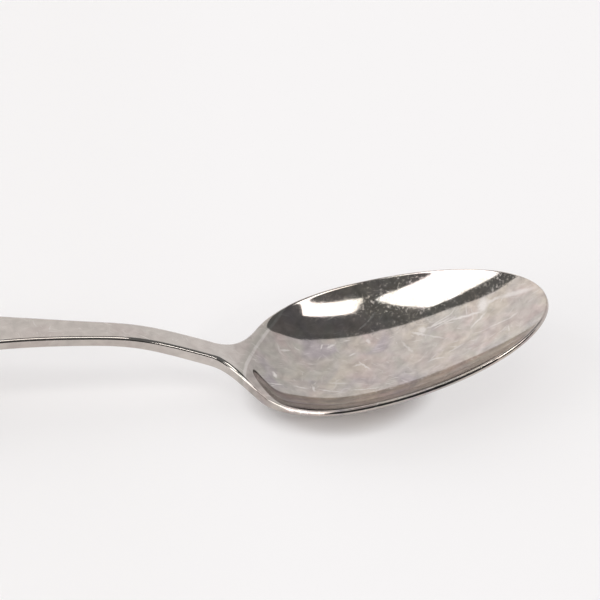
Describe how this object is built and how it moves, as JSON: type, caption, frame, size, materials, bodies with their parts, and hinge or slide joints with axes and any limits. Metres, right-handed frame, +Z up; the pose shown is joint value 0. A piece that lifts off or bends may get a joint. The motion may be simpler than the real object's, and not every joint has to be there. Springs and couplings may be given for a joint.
{
  "type": "teaspoon",
  "caption": "Polished steel teaspoon with an egg-shaped bowl, a narrow neck and an arched handle that widens to a rounded end.",
  "frame": {"origin": "middle of the spoon's length and width, on the table it rests on", "axes": "+X along the spoon towards the bowl's tip, +Y across it, +Z up"},
  "size_m": [0.1419, 0.0318, 0.0154],
  "materials": {
    "steel": "polished stainless steel with fine scratches from use"
  },
  "bodies": {
    "root": {"spoon": "steel"}
  },
  "joints": []
}
